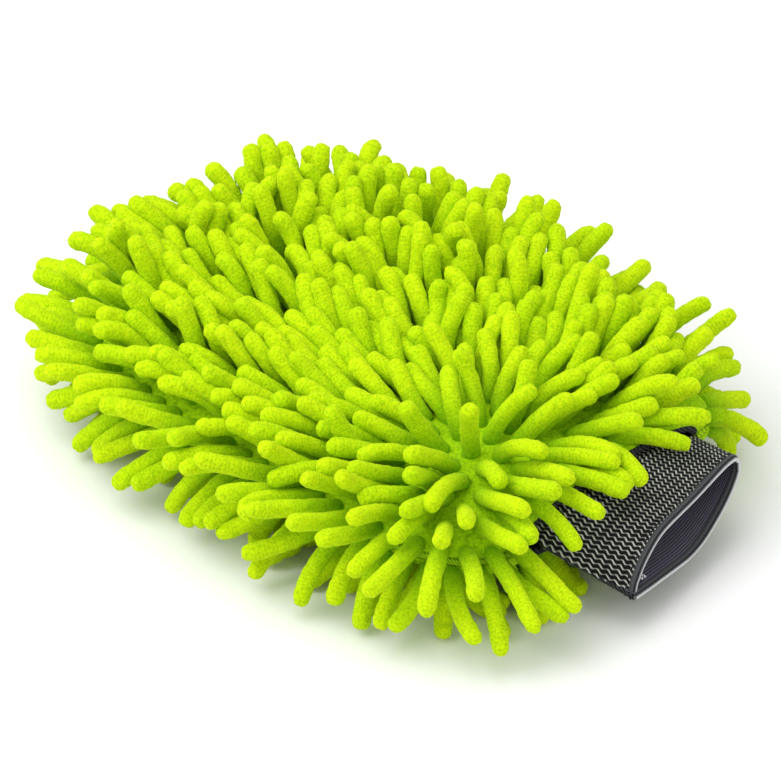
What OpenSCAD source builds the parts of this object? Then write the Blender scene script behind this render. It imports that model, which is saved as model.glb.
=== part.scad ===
// Chenille wash mitt: a cloth pouch covered on both faces with short fat noodles of
// microfibre, and a knitted elastic cuff that the hand goes in through.
// +X points out of the cuff, +Y across the palm, +Z up. The mitt lies on z = 0.

/* [Pouch] */
// Length of the cloth pouch from the fingertip end to the wrist
pouch_len = 207; // [170:1:250]
// Width of the cloth pouch across the palm
pouch_w = 144; // [115:1:180]
// Squareness of the pouch's outline, where 2 is an ellipse
plan_power = 3.4; // [2.4:0.1:5]
// Height of the side seam above the ground
seam_z = 28; // [26:0.5:36]
// Rise of the top panel above the side seam
top_rise = 13; // [11:0.5:22]
// Squareness of the top panel's cross-section
top_power = 2.6; // [2.2:0.1:4]
// Drop of the bottom panel below the side seam
bottom_drop = 10.5; // [9:0.5:13]
// Squareness of the bottom panel's cross-section
bottom_power = 4; // [2.6:0.1:5]
// Extra rise of the top panel where the pile parts
crown_rise = 3; // [0:0.5:8]

/* [Cloth] */
// Thickness of the backing cloth that holds the noodles
backing_t = 1.6; // [1:0.1:2.4]
// Thickness of the inner lining
lining_t = 0.8; // [0.5:0.1:1.5]
// Air between one layer of cloth and the next
layer_gap = 0.4; // [0.3:0.1:1]
// Radius of the overlocked seams
seam_r = 1.5; // [1:0.1:2.2]

/* [Noodles] */
// Diameter of one noodle
noodle_d = 6.4; // [5:0.1:7]
// Length of a top noodle outside the cloth
top_noodle_len = 24; // [16:0.5:32]
// Length of a bottom noodle outside the cloth
bottom_noodle_len = 20.5; // [16:0.5:30]
// Distance between neighbouring noodles on the cloth
noodle_pitch = 8.6; // [8.2:0.1:12]
// Depth of a noodle's root in the backing cloth
root_depth = 1; // [0.4:0.1:1.4]
// How far the noodles lean away from the crown, as a slope
lean = 0.55; // [0.2:0.05:0.7]

/* [Cuff] */
// Width of the pouch's neck, where the cuff is sewn on
neck_w = 84; // [70:1:100]
// Height of the neck above and below the side seam
neck_rise = 9; // [8:0.5:12]
// Sideways offset of the neck from the pouch's middle
neck_y = 8; // [0:1:14]
// Gap at the wrist in which the cuff bends
wrist_gap = 3.1; // [2.8:0.1:6]
// Length of the cuff from the neck to the middle of its mouth
cuff_len = 29; // [22:1:60]
// Width of the cuff's mouth
mouth_w = 74; // [60:1:90]
// Height of the cuff's mouth
mouth_h = 24; // [20:1:40]
// Thickness of the knitted elastic
knit_t = 1.6; // [1:0.1:2.2]
// Thickness of the facing inside the cuff
facing_t = 1.2; // [0.8:0.1:1.6]
// Radius of the binding round the mouth
binding_r = 1.7; // [1.2:0.1:2.2]

/* [Hidden] */
BANDS = 12;
function band_name(face, i) = str(face, "_noodles_", i < 9 ? "0" : "", i + 1);

// Shifts the mitt so that its overall box is centred on the origin.
centre_x = -7.7;
pouch_end = centre_x + pouch_len / 2;
noodle_r = noodle_d / 2;
// The noodles part around this spot and lean away from it.
crown = [0.29 * pouch_len, -0.15 * pouch_w];
crown_spread = 45;
// Plan angles where the panels start at the fingertips and end at the wrist.
TIP_ANGLE = 4;
WRIST_ANGLE = 178;
// Where the panels stop across each face, just short of the side seam.
RIM_V = 0.97;
// Section angle of the noodles that grow along the rim.
RIM_ROW = 12;
GREEN = [0.68, 0.86, 0.04];
DEEP_GREEN = [0.45, 0.62, 0.03];
CHARCOAL = [0.16, 0.17, 0.17];
SILVER_GREY = [0.62, 0.64, 0.62];

// ---- small maths ----
function sgn_pow(v, p) = sign(v) * pow(abs(v), p);
function unit(v) = v / norm(v);
function mix(a, b, k) = a * (1 - k) + b * k;
function running(steps, i = 0, total = 0) =
    i >= len(steps) ? [total] : concat([total], running(steps, i + 1, total + steps[i]));
// Distance travelled along a path of points, from its first point to each one.
function travelled(path) =
    running([for (i = [1:len(path) - 1]) norm(path[i] - path[i - 1])]);
function nearest(p, others) = min([for (o = others) norm(p - o)]);

// ---- the pouch's surface ----
// a is the plan angle, 0 at the fingertips and 180 at the wrist. t is the section
// angle, 0 at the far side seam, 90 on top, 180 at the near seam and 270 underneath.
function plan(a) = pow(max(sin(a), 0), 2 / plan_power);
function station(a) = centre_x - pouch_len / 2 * sgn_pow(cos(a), 2 / plan_power);
function plan_angle(x) =
    acos(-sgn_pow((x - centre_x) / (pouch_len / 2), plan_power / 2));
// Plan angle at th, which runs evenly round the outline from 0 to 180.
function even_angle(th) =
    atan2(pow(sin(th), plan_power / 2), sgn_pow(cos(th), plan_power / 2));
function toward(a, at_wrist, full) =
    a < 90 ? full * plan(a) : mix(at_wrist, full, plan(a));
function rise(a, t) =
    t <= 180 ? toward(a, neck_rise, top_rise) : toward(a, neck_rise, bottom_drop);
function pouch_base(a, t) =
    let (k = 2 / (t <= 180 ? top_power : bottom_power))
    [
        station(a),
        (a < 90 ? 0 : neck_y * (1 - plan(a))) + toward(a, neck_w / 2, pouch_w / 2)
            * sgn_pow(cos(t), k),
        seam_z + rise(a, t) * sgn_pow(sin(t), k)
    ];
function crown_lift(p) =
    crown_rise * exp(-pow(norm([p[0], p[1]] - crown) / crown_spread, 2));
function pouch_at(a, t) =
    let (p = pouch_base(a, t))
    p + [0, 0, t <= 180 ? crown_lift(p) * max(sin(t), 0) : 0];
function pouch_normal(a, t, d = 0.6) =
    let (
        la = min(max(a, TIP_ANGLE + d), WRIST_ANGLE - d),
        lt = t <= 180 ? min(max(t, 1.5), 178.5) : min(max(t, 181.5), 358.5)
    )
    unit(cross(
        pouch_at(la, lt + d) - pouch_at(la, lt - d),
        pouch_at(la + d, lt) - pouch_at(la - d, lt)
    ));
function inside(a, t, depth) = pouch_at(a, t) - depth * pouch_normal(a, t);
// Section angle at v, which runs evenly across a face from -1 at the near seam to 1.
function turn(v, top) =
    let (t = acos(sgn_pow(sin(90 * v), (top ? top_power : bottom_power) / 2)))
    top ? t : 360 - t;

// ---- solids from grids of points ----
function cell(a, b, c, d) = [[a, b, c], [a, c, d]];
// A closed sheet between an outer and an inner grid, both [row][column].
module sheet(outer, inner) {
    rows = len(outer);
    cols = len(outer[0]);
    count = rows * cols;
    faces = [
        for (r = [0:rows - 2], c = [0:cols - 2])
            let (i = r * cols + c)
            each concat(
                cell(i, i + 1, i + cols + 1, i + cols),
                cell(count + i, count + i + cols, count + i + cols + 1, count + i + 1)
            ),
        for (r = [0:rows - 2])
            let (i = r * cols, j = r * cols + cols - 1)
            each concat(
                cell(i, i + cols, count + i + cols, count + i),
                cell(j, count + j, count + j + cols, j + cols)
            ),
        for (c = [0:cols - 2])
            let (i = c, j = (rows - 1) * cols + c)
            each concat(
                cell(i, count + i, count + i + 1, i + 1),
                cell(j, j + 1, count + j + 1, count + j)
            )
    ];
    polyhedron(concat([for (r = outer) each r], [for (r = inner) each r]), faces);
}
// A round bead along a path, with flat ends.
module bead(path, r, sides = 8) {
    last = len(path) - 1;
    rings = [
        for (i = [0:last])
            let (
                ahead = unit(path[min(i + 1, last)] - path[max(i - 1, 0)]),
                side = unit(cross(ahead, [0, 0, 1])),
                up = cross(side, ahead)
            )
            [for (k = [0:sides - 1])
                path[i] + r * (cos(k * 360 / sides) * side + sin(k * 360 / sides) * up)]
    ];
    faces = concat(
        [for (i = [0:last - 1], k = [0:sides - 1])
            let (n = (k + 1) % sides)
            each cell(i * sides + k, i * sides + n, (i + 1) * sides + n, (i + 1) * sides + k)],
        [[for (k = [sides - 1:-1:0]) k], [for (k = [0:sides - 1]) last * sides + k]]
    );
    polyhedron([for (r = rings) each r], faces);
}

// ---- panels ----
// One face of the pouch between two depths below its outer surface.
module panel(top, start, end, near, far, rows, cols) {
    angles = [for (r = [0:rows]) even_angle(start + (end - start) * r / rows)];
    turns = [for (c = [0:cols]) turn((top ? 1 : -1) * RIM_V * (1 - 2 * c / cols), top)];
    sheet(
        [for (a = angles) [for (t = turns) inside(a, t, near)]],
        [for (a = angles) [for (t = turns) inside(a, t, far)]]
    );
}
lining_depth = backing_t + layer_gap;
module backing_top() { color(DEEP_GREEN) panel(true, TIP_ANGLE, WRIST_ANGLE, 0, backing_t, 34, 22); }
module backing_bottom() { color(DEEP_GREEN) panel(false, TIP_ANGLE, WRIST_ANGLE, 0, backing_t, 34, 22); }
module lining_top() {
    color(CHARCOAL) panel(true, 16, 168, lining_depth, lining_depth + lining_t, 22, 14);
}
module lining_bottom() {
    color(CHARCOAL) panel(false, 16, 168, lining_depth, lining_depth + lining_t, 22, 14);
}

// The overlocked edge seam runs up the far side, round the fingertips and back.
module edge_seam() {
    path = [
        for (th = [-WRIST_ANGLE:6:WRIST_ANGLE])
            let (a = even_angle(max(abs(th), TIP_ANGLE)), v = th < 0 ? -RIM_V : RIM_V)
            mix(inside(a, turn(v, true), backing_t / 2),
                inside(a, turn(v, false), backing_t / 2), 0.5)
    ];
    color(DEEP_GREEN) bead(path, seam_r);
}

// ---- noodles ----
// One noodle: a straight round body with a bevelled tip.
module noodle(root, heading, length) {
    bevel = 0.6 * noodle_r;
    full = length + root_depth;
    outline = [[0, 0], [noodle_r, 0], [noodle_r, full - bevel], [noodle_r - bevel, full], [0, full]];
    translate(root)
        rotate([0, acos(heading[2]), atan2(heading[1], heading[0])])
            translate([0, 0, -root_depth])
                rotate_extrude($fn = 20) polygon(outline);
}
// The way a noodle leans: out of the cloth, and away from the crown.
function heading(a, t) =
    let (
        root = pouch_at(a, t),
        n = pouch_normal(a, t),
        away = [root[0] - crown[0], root[1] - crown[1], 0],
        reach = norm(away),
        pull = lean * min(1, reach / crown_spread)
    )
    unit(n + (reach > 0 ? pull * away / reach : [0, 0, 0]));
module pile(spots, length) {
    color(GREEN)
        for (s = spots) noodle(pouch_at(s[0], s[1]), heading(s[0], s[1]), length);
}
// Plan and section angles of the noodles along the rim of one face. th runs from the
// near side of the wrist, round the fingertips at 0, to the far side of the wrist.
WRIST_CLEAR = 9;
function rim_turn(th, top) =
    top ? (th < 0 ? 180 - RIM_ROW : RIM_ROW) : (th < 0 ? 180 + RIM_ROW : 360 - RIM_ROW);
function rim_spot(th, top) = [even_angle(max(abs(th), 0.5)), rim_turn(th, top)];
function rim_line(top, shift) =
    let (
        ths = [for (th = [-WRIST_ANGLE:1:WRIST_ANGLE]) th],
        gone = travelled([for (th = ths) let (s = rim_spot(th, top)) pouch_at(s[0], s[1])]),
        total = gone[len(gone) - 1] - 2 * WRIST_CLEAR,
        count = floor(total / noodle_pitch),
        table = [for (i = [0:len(ths) - 1]) [gone[i], ths[i]]]
    )
    [for (i = [0:count - 2 * shift])
        rim_spot(lookup(WRIST_CLEAR + total * (i + shift) / count, table), top)];
function roots(spots) = [for (s = spots) pouch_at(s[0], s[1])];
top_rim = rim_line(true, 0);
top_rim_roots = roots(top_rim);
// The lower rim is staggered, and gives way where the pouch gets thin at its tip.
bottom_rim = [
    for (s = rim_line(false, 0.5))
        if (nearest(pouch_at(s[0], s[1]), top_rim_roots) > 1.06 * noodle_d) s
];
bottom_rim_roots = roots(bottom_rim);
// Angles of the noodles on one knitted row, clear of the rim's.
function row_spots(x, shift, top) =
    let (
        a = plan_angle(x),
        vs = [for (v = [-0.9:0.02:0.9]) v],
        gone = travelled([for (v = vs) pouch_at(a, turn(v, top))]),
        table = [for (i = [0:len(vs) - 1]) [gone[i], vs[i]]],
        margin = 0.95 * noodle_pitch + 1,
        room = gone[len(gone) - 1] - 2 * margin,
        count = floor(room / noodle_pitch),
        rim_roots = top ? top_rim_roots : concat(bottom_rim_roots, top_rim_roots)
    )
    [for (i = [0:count - 2 * shift])
        let (t = turn(lookup(margin + (i + shift) * room / count, table), top))
        if (nearest(pouch_at(a, t), rim_roots) > 0.92 * noodle_pitch) [a, t]];
row_pitch = (pouch_len - 1.1 * noodle_pitch) / (2 * BANDS);
function row_x(i) = centre_x - pouch_len / 2 + 0.75 * noodle_pitch + row_pitch * i;
function band_spots(i, top) =
    [for (r = [0, 1]) each row_spots(row_x(2 * i + r), r / 2, top)];
module top_band(i) { pile(band_spots(i, true), top_noodle_len); }
module top_edge_noodles() { pile(top_rim, top_noodle_len); }
// The lower noodles are pressed flat where the mitt's weight rests on the ground.
module above_ground() {
    slab = [2 * pouch_len, 3 * pouch_w, 20];
    difference() {
        children();
        color(GREEN) translate([-slab[0] / 2, -slab[1] / 2, -slab[2]]) cube(slab);
    }
}
module bottom_band(i) { above_ground() pile(band_spots(i, false), bottom_noodle_len); }
module bottom_edge_noodles() { pile(bottom_rim, bottom_noodle_len); }

// ---- cuff ----
// The cuff's section slides from the wrist seam, k = 0, to its slanted mouth, k = 1.
// Middle, half width and half height are the three vectors of each section.
root_middle = [pouch_end + wrist_gap, neck_y, seam_z];
mouth_middle = [pouch_end + cuff_len, neck_y * 2, seam_z - neck_rise + 1];
root_half_w = [0, neck_w / 2 - 1, 0];
root_half_h = [0, 0, neck_rise];
MOUTH_SKEW = 12.5;
MOUTH_TILT = 12;
mouth_half_w = mouth_w / 2
    * [-sin(MOUTH_SKEW), cos(MOUTH_SKEW) * cos(MOUTH_TILT), sin(MOUTH_TILT)];
mouth_half_h = mouth_h / 2 * unit([-0.2, -0.1, 1]);
function cuff_at(k, t) =
    mix(root_middle, mouth_middle, k)
    + mix(root_half_w, mouth_half_w, k) * sgn_pow(cos(t), 0.85)
    + mix(root_half_h, mouth_half_h, k) * sgn_pow(sin(t), 0.85);
function cuff_normal(k, t, d = 0.5) =
    let (kk = min(max(k, 0.02), 0.98))
    unit(cross(
        cuff_at(kk, t + d) - cuff_at(kk, t - d),
        cuff_at(kk + 0.02, t) - cuff_at(kk - 0.02, t)
    ));
function cuff_inside(k, t, depth) = cuff_at(k, t) - depth * cuff_normal(k, t);
SIDE_GAP = 4;
KNIT_END = 0.955;
// Half of the cuff between two depths: the upper half from t = 0, the lower from 180.
module cuff_half(first, near, far) {
    ks = [for (r = [0:8]) KNIT_END * r / 8];
    ts = [for (c = [0:24]) first + SIDE_GAP + (180 - 2 * SIDE_GAP) * c / 24];
    sheet(
        [for (k = ks) [for (t = ts) cuff_inside(k, t, near)]],
        [for (k = ks) [for (t = ts) cuff_inside(k, t, far)]]
    );
}
facing_depth = knit_t + layer_gap;
module cuff_knit_upper() { color(CHARCOAL) cuff_half(0, 0, knit_t); }
module cuff_knit_lower() { color(CHARCOAL) cuff_half(180, 0, knit_t); }
module cuff_facing_upper() {
    color(CHARCOAL) cuff_half(0, facing_depth, facing_depth + facing_t);
}
module cuff_facing_lower() {
    color(CHARCOAL) cuff_half(180, facing_depth, facing_depth + facing_t);
}
// The binding closes the fold at the mouth, half on each side of the opening.
function mouth_path(first, depth, k) =
    [for (c = [0:28])
        cuff_inside(k, first + SIDE_GAP + (180 - 2 * SIDE_GAP) * c / 28, depth)];
binding_depth = (facing_depth + facing_t) / 2;
module mouth_binding_upper() {
    color(SILVER_GREY) bead(mouth_path(0, binding_depth, 0.985), binding_r, 10);
}
module mouth_binding_lower() {
    color(SILVER_GREY) bead(mouth_path(180, binding_depth, 0.985), binding_r, 10);
}
// Short straight stitches in the hem groove, one after another along the mouth.
module hem_stitches(first) {
    color(CHARCOAL)
        for (i = [0:17])
            let (
                t = first + 12 + i * 9.1,
                here = cuff_at(0.88, t),
                next = cuff_at(0.88, t + 3)
            )
            bead([mix(here, next, -0.2), here, next, mix(here, next, 1.2)], 0.35, 8);
}
module hem_stitches_upper() { hem_stitches(0); }
module hem_stitches_lower() { hem_stitches(180); }
// The cuff's two side seams, which belong to its lower half.
module cuff_side_seam(t) {
    color(CHARCOAL)
        bead([for (k = [0.04:0.1:0.84]) cuff_inside(k, t, facing_depth / 2)], knit_t / 2);
}
module cuff_side_seam_far() { cuff_side_seam(360 - SIDE_GAP / 2); }
module cuff_side_seam_near() { cuff_side_seam(180 + SIDE_GAP / 2); }
module corner_bartack() {
    color("white")
        bead([for (k = [0.84:0.03:0.96]) cuff_inside(k, 184, facing_depth + facing_t)], 0.5);
}
// The overlocked wrist seams join the neck of the pouch to the cuff.
module wrist_seam(top) {
    wrist = even_angle(WRIST_ANGLE);
    path = [for (c = [0:28]) inside(wrist, turn(0.94 * (1 - 2 * c / 28), top), backing_t / 2)];
    color(CHARCOAL) bead(path, seam_r);
}
module wrist_seam_upper() { wrist_seam(true); }
module wrist_seam_lower() { wrist_seam(false); }

backing_top();
backing_bottom();
lining_top();
lining_bottom();
edge_seam();
for (i = [0:BANDS - 1]) top_band(i);
top_edge_noodles();
for (i = [0:BANDS - 1]) bottom_band(i);
bottom_edge_noodles();
wrist_seam_upper();
wrist_seam_lower();
cuff_knit_upper();
cuff_knit_lower();
cuff_facing_upper();
cuff_facing_lower();
mouth_binding_upper();
mouth_binding_lower();
cuff_side_seam_near();
cuff_side_seam_far();
hem_stitches_upper();
hem_stitches_lower();
corner_bartack();
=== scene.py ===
# %% [markdown]
# # A chenille wash mitt
# A wash mitt is a flat cloth pouch with several hundred soft microfibre noodles knitted
# into both faces, and a short cuff of ribbed elastic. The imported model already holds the
# place and the heading of every noodle, so this lesson reads them from it, lets the noodles
# flop against each other and the ground, and then dresses cloth, cuff and thread.

import itertools
import math

import bmesh
import bpy
import numpy as np
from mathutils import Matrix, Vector
from mathutils.bvhtree import BVHTree


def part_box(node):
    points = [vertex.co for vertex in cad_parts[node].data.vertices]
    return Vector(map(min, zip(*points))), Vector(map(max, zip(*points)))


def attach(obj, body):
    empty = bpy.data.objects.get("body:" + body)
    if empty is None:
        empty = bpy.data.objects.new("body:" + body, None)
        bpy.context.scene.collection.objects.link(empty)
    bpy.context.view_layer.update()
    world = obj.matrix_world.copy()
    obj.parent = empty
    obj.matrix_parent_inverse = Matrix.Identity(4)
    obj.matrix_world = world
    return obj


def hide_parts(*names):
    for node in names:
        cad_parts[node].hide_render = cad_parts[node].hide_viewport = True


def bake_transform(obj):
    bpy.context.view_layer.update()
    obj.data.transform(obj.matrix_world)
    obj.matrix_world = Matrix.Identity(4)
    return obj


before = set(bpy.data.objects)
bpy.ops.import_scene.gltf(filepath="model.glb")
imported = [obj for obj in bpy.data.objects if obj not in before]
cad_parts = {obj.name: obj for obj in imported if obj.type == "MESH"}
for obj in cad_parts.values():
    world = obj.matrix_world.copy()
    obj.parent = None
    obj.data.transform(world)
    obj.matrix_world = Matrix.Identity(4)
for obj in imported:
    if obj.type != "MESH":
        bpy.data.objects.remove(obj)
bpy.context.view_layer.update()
MM = 0.001

# %% [markdown]
# ## Camera and light
# The mitt is seen from its near side and a little above. A long lens far away keeps its
# proportions nearly parallel. Cloth shows best in broad soft light, so the light is one
# large lamp overhead, two weaker ones that fill the sides, and a bright even sky.

# %% Place the camera
AZIMUTH = math.radians(43.6)
ELEVATION = math.radians(36.5)
DISTANCE = 8.0
PICTURE_WIDTH = 0.2767
look_at = Vector((-13.7, 10.0, 13.8)) * MM
back = Vector((math.sin(AZIMUTH) * math.cos(ELEVATION),
               -math.cos(AZIMUTH) * math.cos(ELEVATION),
               math.sin(ELEVATION)))
camera_data = bpy.data.cameras.new("long_lens")
camera = bpy.data.objects.new("camera", camera_data)
bpy.context.scene.collection.objects.link(camera)
camera_data.sensor_width = 36
camera_data.lens = 36 * DISTANCE / PICTURE_WIDTH
camera_data.clip_end = 40
camera.location = look_at + back * DISTANCE
camera.rotation_euler = (-back).to_track_quat("-Z", "Y").to_euler()
bpy.context.scene.camera = camera
bpy.context.scene.view_settings.view_transform = "Standard"


# %% Hang the lamps
def lamp(name, azimuth, elevation, distance, size, power):
    """A square area lamp that faces the mitt."""
    data = bpy.data.lights.new(name, "AREA")
    data.size = size
    data.energy = power
    made = bpy.data.objects.new(name, data)
    bpy.context.scene.collection.objects.link(made)
    a, e = math.radians(azimuth), math.radians(elevation)
    way = Vector((math.sin(a) * math.cos(e), -math.cos(a) * math.cos(e), math.sin(e)))
    made.location = look_at + way * distance
    made.rotation_euler = (-way).to_track_quat("-Z", "Y").to_euler()
    made.visible_camera = False


lamp("overhead_softbox", -40, 68, 1.3, 1.5, 13)
lamp("left_softbox", -20, 35, 1.4, 0.8, 4)
lamp("right_softbox", 100, 28, 1.4, 0.8, 2.2)
sky = bpy.data.worlds.new("studio")
bpy.context.scene.world = sky
sky.use_nodes = True
sky.node_tree.nodes["Background"].inputs["Color"].default_value = (1, 1, 1, 1)
sky.node_tree.nodes["Background"].inputs["Strength"].default_value = 0.68

# %% [markdown]
# ## Materials
# Every material here is a textile, so all are rough dielectrics, and what sets them apart
# is how their yarn is laid. One helper turns sRGB hex into linear colour and one adds a
# node with its settings and its links.

# %% Colour and node helpers
def linear(hex_colour):
    """A colour written as sRGB hex, as the linear values that Blender works with."""
    parts = [int(hex_colour[i:i + 2], 16) / 255 for i in (0, 2, 4)]
    return [p / 12.92 if p <= 0.04045 else ((p + 0.055) / 1.055) ** 2.4 for p in parts] + [1]


def add(tree, kind, links=(), **settings):
    """A node of that kind. links are (input, socket); settings are properties or inputs."""
    made = tree.nodes.new("ShaderNode" + kind)
    for name, value in settings.items():
        if hasattr(made, name):
            setattr(made, name, value)
        else:
            made.inputs[name.replace("_", " ")].default_value = value
    for place, socket in links:
        tree.links.new(socket, made.inputs[place])
    return made


def ramp(tree, source, stops):
    """Colours that change along a value. stops are (position, hex colour)."""
    made = add(tree, "ValToRGB", [("Fac", source)])
    band = made.color_ramp
    while len(band.elements) < len(stops):
        band.elements.new(0.5)
    for element, (place, colour) in zip(band.elements, stops):
        element.position = place
        element.color = linear(colour)
    return made


def cloth_material(name, roughness, sheen=0.0, tint="ffffff"):
    """A rough dielectric shader for yarn. Microfibre and knit scatter light as fuzz does."""
    made = bpy.data.materials.new(name)
    made.use_nodes = True
    shader = made.node_tree.nodes["Principled BSDF"]
    shader.inputs["Roughness"].default_value = roughness
    shader.inputs["Specular IOR Level"].default_value = 0.15
    shader.inputs["Sheen Weight"].default_value = sheen
    shader.inputs["Sheen Roughness"].default_value = 0.5
    shader.inputs["Sheen Tint"].default_value = linear(tint)
    return made, made.node_tree, shader


# %% [markdown]
# ### Microfibre chenille
# Chenille yarn is a core with short cut fibres twisted round it, so a noodle looks like a
# soft bottle brush: faint rings every 1.3 mm, and fuzz that catches light at its outline.
# The pattern reads an attribute that holds each point's place on the straight noodle, so
# the rings follow the noodle however it bends. Raised tufts are pale and the gaps greener:
# partly the yarn's own tone, partly a painted highlight on the tufts and painted shade in
# the gaps. Each noodle is also painted darker towards its root, as painted shade.

# %% Microfibre chenille
RING_PITCH = 1.3 * MM
TUFT_SIZE = 0.9 * MM
chenille, tree, shader = cloth_material("microfibre_chenille_lime", 0.95, 0.2, "d8f838")
shader.inputs["Subsurface Weight"].default_value = 0.3
shader.inputs["Subsurface Radius"].default_value = (0.8, 1.0, 0.1)
shader.inputs["Subsurface Scale"].default_value = 2.0 * MM
strand = add(tree, "Attribute", attribute_name="strand")
shade = add(tree, "Attribute", attribute_name="shade")
reach_out = add(tree, "Attribute", attribute_name="reach")
place = add(tree, "SeparateXYZ", [(0, strand.outputs["Vector"])])
tufts = add(tree, "TexNoise", [("Vector", strand.outputs["Vector"])],
            Scale=1 / TUFT_SIZE, Detail=3.0, Roughness=0.65)
wander = add(tree, "MapRange", [("Value", tufts.outputs["Fac"])],
             To_Min=-0.35 * RING_PITCH, To_Max=0.35 * RING_PITCH)
along = add(tree, "Math", [(0, place.outputs["Z"]), (1, wander.outputs["Result"])],
            operation="ADD")
turns = add(tree, "Math", [(0, along.outputs[0])], operation="MULTIPLY")
turns.inputs[1].default_value = 2 * math.pi / RING_PITCH
rings = add(tree, "Math", [(0, turns.outputs[0])], operation="SINE")
relief = add(tree, "MapRange", [("Value", rings.outputs[0])],
             From_Min=-1.0, From_Max=1.0, To_Min=0.0, To_Max=0.07)
pile_height = add(tree, "Math", [(0, relief.outputs["Result"]), (1, tufts.outputs["Fac"])],
                  operation="ADD")
mixed = add(tree, "MapRange", [("Value", pile_height.outputs[0])],
            From_Min=0.38, From_Max=0.78, To_Min=0.0, To_Max=1.0)
# Colour by pile height: partly the yarn's tone, partly a painted highlight on the tufts and painted
# shade in the gaps.
fibre = ramp(tree, mixed.outputs["Result"],
             [(0.0, "8cba00"), (0.42, "bade00"), (1.0, "def018")])
dye = ramp(tree, shade.outputs["Fac"], [(0.0, "aed600"), (1.0, "d8ea08")])
noodle_colour = add(tree, "Mix", data_type="RGBA", blend_type="MIX")
noodle_colour.inputs["Factor"].default_value = 0.3
tree.links.new(fibre.outputs["Color"], noodle_colour.inputs[6])
tree.links.new(dye.outputs["Color"], noodle_colour.inputs[7])
# Painted shade: each noodle is made darker towards its root, where the pile crowds the cloth.
painted_root_shade = ramp(tree, reach_out.outputs["Fac"], [(0.0, "a8cc50"), (0.6, "ffffff")])
shaded = add(tree, "Mix", data_type="RGBA", blend_type="MULTIPLY")
shaded.inputs["Factor"].default_value = 1.0
tree.links.new(noodle_colour.outputs[2], shaded.inputs[6])
tree.links.new(painted_root_shade.outputs["Color"], shaded.inputs[7])
tree.links.new(shaded.outputs[2], shader.inputs["Base Color"])
bump = add(tree, "Bump", [("Height", pile_height.outputs[0])],
           Strength=0.8, Distance=0.45 * MM)
tree.links.new(bump.outputs["Normal"], shader.inputs["Normal"])

# %% [markdown]
# ### Knitted backing, lining and thread
# The backing is a fine tricot knit in the noodles' own dye, so it reads as tiny stitches
# about a millimetre apart. The lining is a plain black knit. Overlock thread is a twisted
# ply, which shows as slanting ridges.

# %% Knits and threads
def stitched(name, pitch, dark, light, roughness=0.9, sheen=0.15, depth=0.25 * MM):
    """A knit of small cells: dark gaps, light yarn, and a relief to match."""
    made, tree, shader = cloth_material(name, roughness, sheen, light)
    where = add(tree, "TexCoord")
    cells = add(tree, "TexVoronoi", [("Vector", where.outputs["Object"])],
                feature="SMOOTH_F1", Scale=1 / pitch)
    yarn = add(tree, "TexNoise", [("Vector", where.outputs["Object"])],
               Scale=0.45 / pitch, Detail=4.0)
    both = add(tree, "Math", [(0, cells.outputs["Distance"]), (1, yarn.outputs["Fac"])],
               operation="MULTIPLY")
    colour = ramp(tree, both.outputs[0], [(0.05, light), (0.42, dark)])
    tree.links.new(colour.outputs["Color"], shader.inputs["Base Color"])
    bump = add(tree, "Bump", [("Height", both.outputs[0])],
               Strength=0.6, Distance=depth, invert=True)
    tree.links.new(bump.outputs["Normal"], shader.inputs["Normal"])
    return made


def twisted(name, pitch, dark, light):
    """A plied thread: slanting ridges a pitch apart."""
    made, tree, shader = cloth_material(name, 0.75, 0.2, light)
    where = add(tree, "TexCoord")
    ply = add(tree, "TexWave", [("Vector", where.outputs["Object"])],
              bands_direction="DIAGONAL", Scale=0.314 / pitch, Distortion=1.5, Detail=2.0)
    colour = ramp(tree, ply.outputs["Fac"], [(0.1, dark), (0.8, light)])
    tree.links.new(colour.outputs["Color"], shader.inputs["Base Color"])
    bump = add(tree, "Bump", [("Height", ply.outputs["Fac"])],
               Strength=0.7, Distance=0.3 * MM)
    tree.links.new(bump.outputs["Normal"], shader.inputs["Normal"])
    return made


backing_knit = stitched("tricot_knit_lime", 1.0 * MM, "7fb000", "b4e004")
lining_knit = stitched("plain_knit_black", 1.1 * MM, "0b0b0d", "1d1d20")
lime_thread = twisted("overlock_thread_lime", 0.9 * MM, "7aa800", "b0da10")
grey_thread = twisted("overlock_thread_charcoal", 0.8 * MM, "101112", "3c3e40")
white_thread = twisted("bartack_thread_white", 0.5 * MM, "b8b8bc", "ffffff")

# %% [markdown]
# ### Ribbed elastic, facing and binding
# The cuff is a braided elastic. Pale grey yarn lies over a black ground in wavy ribs that
# run from the wrist to the mouth, about 2 mm apart, and each rib steps sideways every
# 2.7 mm. The tube's own relief is made in the mesh; the material paints the same ribs from
# the tube's UV map, which is in metres. The colour is pale only near the crests and black in
# the gaps: partly the yarn, partly a painted highlight on the crests and painted shade in
# the gaps. Inside, the facing is smoother, with fine rows whose tops carry a painted
# grey-violet sheen over the black knit.

# %% Ribbed elastic
RIB_PITCH = 1.95 * MM
RIB_STEP = 2.7 * MM
RIB_SWAY = 0.4 * MM


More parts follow.
